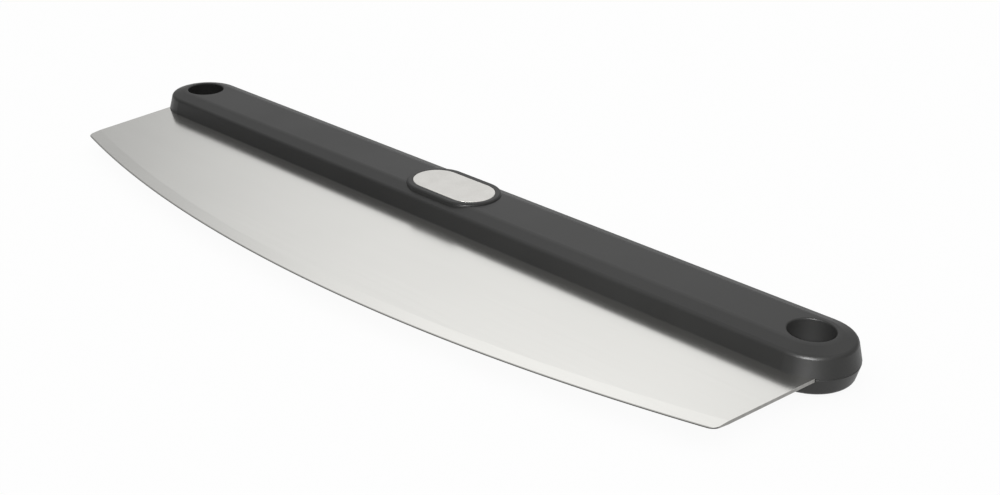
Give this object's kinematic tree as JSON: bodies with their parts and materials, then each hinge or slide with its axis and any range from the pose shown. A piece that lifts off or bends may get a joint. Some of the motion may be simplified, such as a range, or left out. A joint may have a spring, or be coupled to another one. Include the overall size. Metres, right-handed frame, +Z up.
{
  "type": "rocking pizza knife",
  "caption": "Long curved steel blade for rocking cuts, clamped along its back in a slim two-shell plastic handle with a hanging hole at each end and a small metal plate on top.",
  "frame": {"origin": "middle of the handle's flat underside", "axes": "+X along the handle, -Y from the handle towards the cutting edge, +Z up out of the crowned face that carries the plate"},
  "size_m": [0.4198, 0.1151, 0.019],
  "materials": {
    "blade_steel": "satin ground stainless sheet",
    "handle_plastic": "fine matte moulded surface",
    "ring_plastic": "smoother semi-matte moulded surface",
    "badge_metal": "fine blasted grain",
    "adhesive": "soft acrylic foam pad",
    "screw_steel": "plain stainless"
  },
  "bodies": {
    "root": {"blade": "blade_steel", "handle_upper_shell": "handle_plastic", "handle_lower_shell": "handle_plastic", "badge_ring": "ring_plastic", "badge_plate": "badge_metal", "badge_adhesive_pad": "adhesive", "shell_screws": "screw_steel"}
  },
  "joints": []
}
